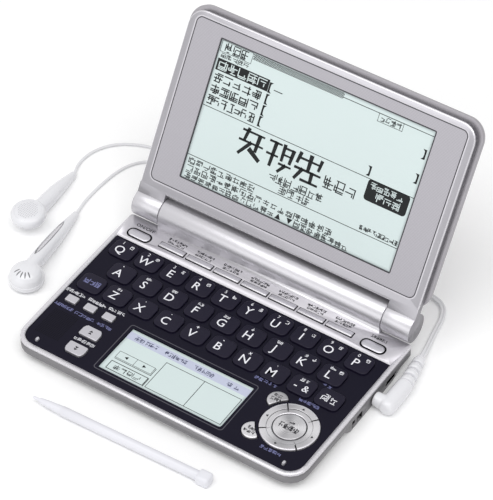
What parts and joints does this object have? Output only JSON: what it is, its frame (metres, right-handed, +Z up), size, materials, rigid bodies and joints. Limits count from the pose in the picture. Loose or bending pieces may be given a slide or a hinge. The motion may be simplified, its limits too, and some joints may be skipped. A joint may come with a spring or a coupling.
{
  "type": "electronic dictionary",
  "caption": "Clamshell electronic dictionary with a hinged lid, keyboard, cursor ring, two displays, a stylus and plug-in earphones.",
  "frame": {"origin": "on the flat underside, below the middle of the base", "axes": "+X to the right as used, +Y from the front edge towards the hinge, +Z up"},
  "size_m": [0.2093, 0.2103, 0.0995],
  "materials": {
    "silver_paint": "satin",
    "grey_plastic": "matte",
    "black_plastic": "semi-gloss",
    "silver_key": "satin",
    "circuit_board": "solder mask",
    "steel": "satin",
    "main_display": "matt glass",
    "touch_display": "matt glass",
    "white_plastic": "gloss"
  },
  "bodies": {
    "root": {"lower_case": "grey_plastic", "circuit_board": "circuit_board", "deck": "silver_paint", "keyboard_panel": "black_plastic", "touch_screen": "touch_display", "battery_left": "steel", "battery_right": "steel", "twin_lead": "white_plastic", "lead_coil": "white_plastic", "wire_left": "white_plastic", "wire_right": "white_plastic", "earbud_left": "white_plastic", "earbud_right": "white_plastic"},
    "lid": {"lid_frame": "silver_paint", "lid_cover": "silver_paint", "main_screen": "main_display", "hinge_pin_left": "steel", "hinge_pin_right": "steel"},
    "battery_cover": {"battery_cover": "silver_paint"},
    "stylus": {"stylus": "white_plastic"},
    "plug": {"earphone_plug": "white_plastic"},
    "key_q": {"key_q": "black_plastic"},
    "key_w": {"key_w": "black_plastic"},
    "key_e": {"key_e": "black_plastic"},
    "key_r": {"key_r": "black_plastic"},
    "key_t": {"key_t": "black_plastic"},
    "key_y": {"key_y": "black_plastic"},
    "key_u": {"key_u": "black_plastic"},
    "key_i": {"key_i": "black_plastic"},
    "key_o": {"key_o": "black_plastic"},
    "key_p": {"key_p": "black_plastic"},
    "key_a": {"key_a": "black_plastic"},
    "key_s": {"key_s": "black_plastic"},
    "key_d": {"key_d": "black_plastic"},
    "key_f": {"key_f": "black_plastic"},
    "key_g": {"key_g": "black_plastic"},
    "key_h": {"key_h": "black_plastic"},
    "key_j": {"key_j": "black_plastic"},
    "key_k": {"key_k": "black_plastic"},
    "key_l": {"key_l": "black_plastic"},
    "key_shift": {"key_shift": "black_plastic"},
    "key_z": {"key_z": "black_plastic"},
    "key_x": {"key_x": "black_plastic"},
    "key_c": {"key_c": "black_plastic"},
    "key_v": {"key_v": "black_plastic"},
    "key_b": {"key_b": "black_plastic"},
    "key_n": {"key_n": "black_plastic"},
    "key_m": {"key_m": "black_plastic"},
    "key_hyphen": {"key_hyphen": "black_plastic"},
    "key_delete": {"key_delete": "black_plastic"},
    "power_key": {"power_key": "silver_key"},
    "backlight_key": {"backlight_key": "silver_key"},
    "function_keys": {"function_keys": "silver_key"},
    "small_keys": {"small_keys": "silver_key"},
    "page_up_key": {"page_up_key": "silver_key"},
    "page_down_key": {"page_down_key": "silver_key"},
    "ok_key": {"ok_key": "silver_key"},
    "voice_key": {"voice_key": "silver_key"},
    "back_key": {"back_key": "silver_key"},
    "cursor_ring": {"cursor_ring": "silver_key"}
  },
  "joints": [
    {"name": "lid_hinge", "type": "hinge", "parent": "root", "child": "lid", "pos_m": [0, 0.05135, 0.0149], "axis": [1, 0, 0], "range_deg": [-30, 120.5]},
    {"name": "battery_cover_slide", "type": "slide", "parent": "root", "child": "battery_cover", "axis": [0, 1, 0], "range_m": [0, 0.012]},
    {"name": "stylus_lift", "type": "slide", "parent": "root", "child": "stylus", "axis": [0, 0, 1], "range_m": [0, 0.03]},
    {"name": "plug_pull", "type": "slide", "parent": "root", "child": "plug", "axis": [1, 0, 0], "range_m": [0, 0.016]},
    {"name": "key_q_press", "type": "slide", "parent": "root", "child": "key_q", "axis": [0, 0, -1], "range_m": [0, 0.0008], "stiffness_N_per_m": 600},
    {"name": "key_w_press", "type": "slide", "parent": "root", "child": "key_w", "axis": [0, 0, -1], "range_m": [0, 0.0008], "stiffness_N_per_m": 600},
    {"name": "key_e_press", "type": "slide", "parent": "root", "child": "key_e", "axis": [0, 0, -1], "range_m": [0, 0.0008], "stiffness_N_per_m": 600},
    {"name": "key_r_press", "type": "slide", "parent": "root", "child": "key_r", "axis": [0, 0, -1], "range_m": [0, 0.0008], "stiffness_N_per_m": 600},
    {"name": "key_t_press", "type": "slide", "parent": "root", "child": "key_t", "axis": [0, 0, -1], "range_m": [0, 0.0008], "stiffness_N_per_m": 600},
    {"name": "key_y_press", "type": "slide", "parent": "root", "child": "key_y", "axis": [0, 0, -1], "range_m": [0, 0.0008], "stiffness_N_per_m": 600},
    {"name": "key_u_press", "type": "slide", "parent": "root", "child": "key_u", "axis": [0, 0, -1], "range_m": [0, 0.0008], "stiffness_N_per_m": 600},
    {"name": "key_i_press", "type": "slide", "parent": "root", "child": "key_i", "axis": [0, 0, -1], "range_m": [0, 0.0008], "stiffness_N_per_m": 600},
    {"name": "key_o_press", "type": "slide", "parent": "root", "child": "key_o", "axis": [0, 0, -1], "range_m": [0, 0.0008], "stiffness_N_per_m": 600},
    {"name": "key_p_press", "type": "slide", "parent": "root", "child": "key_p", "axis": [0, 0, -1], "range_m": [0, 0.0008], "stiffness_N_per_m": 600},
    {"name": "key_a_press", "type": "slide", "parent": "root", "child": "key_a", "axis": [0, 0, -1], "range_m": [0, 0.0008], "stiffness_N_per_m": 600},
    {"name": "key_s_press", "type": "slide", "parent": "root", "child": "key_s", "axis": [0, 0, -1], "range_m": [0, 0.0008], "stiffness_N_per_m": 600},
    {"name": "key_d_press", "type": "slide", "parent": "root", "child": "key_d", "axis": [0, 0, -1], "range_m": [0, 0.0008], "stiffness_N_per_m": 600},
    {"name": "key_f_press", "type": "slide", "parent": "root", "child": "key_f", "axis": [0, 0, -1], "range_m": [0, 0.0008], "stiffness_N_per_m": 600},
    {"name": "key_g_press", "type": "slide", "parent": "root", "child": "key_g", "axis": [0, 0, -1], "range_m": [0, 0.0008], "stiffness_N_per_m": 600},
    {"name": "key_h_press", "type": "slide", "parent": "root", "child": "key_h", "axis": [0, 0, -1], "range_m": [0, 0.0008], "stiffness_N_per_m": 600},
    {"name": "key_j_press", "type": "slide", "parent": "root", "child": "key_j", "axis": [0, 0, -1], "range_m": [0, 0.0008], "stiffness_N_per_m": 600},
    {"name": "key_k_press", "type": "slide", "parent": "root", "child": "key_k", "axis": [0, 0, -1], "range_m": [0, 0.0008], "stiffness_N_per_m": 600},
    {"name": "key_l_press", "type": "slide", "parent": "root", "child": "key_l", "axis": [0, 0, -1], "range_m": [0, 0.0008], "stiffness_N_per_m": 600},
    {"name": "key_shift_press", "type": "slide", "parent": "root", "child": "key_shift", "axis": [0, 0, -1], "range_m": [0, 0.0008], "stiffness_N_per_m": 600},
    {"name": "key_z_press", "type": "slide", "parent": "root", "child": "key_z", "axis": [0, 0, -1], "range_m": [0, 0.0008], "stiffness_N_per_m": 600},
    {"name": "key_x_press", "type": "slide", "parent": "root", "child": "key_x", "axis": [0, 0, -1], "range_m": [0, 0.0008], "stiffness_N_per_m": 600},
    {"name": "key_c_press", "type": "slide", "parent": "root", "child": "key_c", "axis": [0, 0, -1], "range_m": [0, 0.0008], "stiffness_N_per_m": 600},
    {"name": "key_v_press", "type": "slide", "parent": "root", "child": "key_v", "axis": [0, 0, -1], "range_m": [0, 0.0008], "stiffness_N_per_m": 600},
    {"name": "key_b_press", "type": "slide", "parent": "root", "child": "key_b", "axis": [0, 0, -1], "range_m": [0, 0.0008], "stiffness_N_per_m": 600},
    {"name": "key_n_press", "type": "slide", "parent": "root", "child": "key_n", "axis": [0, 0, -1], "range_m": [0, 0.0008], "stiffness_N_per_m": 600},
    {"name": "key_m_press", "type": "slide", "parent": "root", "child": "key_m", "axis": [0, 0, -1], "range_m": [0, 0.0008], "stiffness_N_per_m": 600},
    {"name": "key_hyphen_press", "type": "slide", "parent": "root", "child": "key_hyphen", "axis": [0, 0, -1], "range_m": [0, 0.0008], "stiffness_N_per_m": 600},
    {"name": "key_delete_press", "type": "slide", "parent": "root", "child": "key_delete", "axis": [0, 0, -1], "range_m": [0, 0.0008], "stiffness_N_per_m": 600},
    {"name": "power_key_press", "type": "slide", "parent": "root", "child": "power_key", "axis": [0, 0, -1], "range_m": [0, 0.0005], "stiffness_N_per_m": 600},
    {"name": "backlight_key_press", "type": "slide", "parent": "root", "child": "backlight_key", "axis": [0, 0, -1], "range_m": [0, 0.0005], "stiffness_N_per_m": 600},
    {"name": "function_keys_press", "type": "slide", "parent": "root", "child": "function_keys", "axis": [0, 0, -1], "range_m": [0, 0.0005], "stiffness_N_per_m": 600},
    {"name": "small_keys_press", "type": "slide", "parent": "root", "child": "small_keys", "axis": [0, 0, -1], "range_m": [0, 0.0008], "stiffness_N_per_m": 600},
    {"name": "page_up_key_press", "type": "slide", "parent": "root", "child": "page_up_key", "axis": [0, 0, -1], "range_m": [0, 0.0008], "stiffness_N_per_m": 600},
    {"name": "page_down_key_press", "type": "slide", "parent": "root", "child": "page_down_key", "axis": [0, 0, -1], "range_m": [0, 0.0008], "stiffness_N_per_m": 600},
    {"name": "ok_key_press", "type": "slide", "parent": "root", "child": "ok_key", "axis": [0, 0, -1], "range_m": [0, 0.0005], "stiffness_N_per_m": 600},
    {"name": "voice_key_press", "type": "slide", "parent": "root", "child": "voice_key", "axis": [0, 0, -1], "range_m": [0, 0.0008], "stiffness_N_per_m": 600},
    {"name": "back_key_press", "type": "slide", "parent": "root", "child": "back_key", "axis": [0, 0, -1], "range_m": [0, 0.0008], "stiffness_N_per_m": 600},
    {"name": "cursor_ring_tilt", "type": "hinge", "parent": "root", "child": "cursor_ring", "pos_m": [0.0553, -0.023, 0.00675], "axis": [1, 0, 0], "range_deg": [-1.5, 1.5], "stiffness_Nm_per_rad": 0.4}
  ]
}
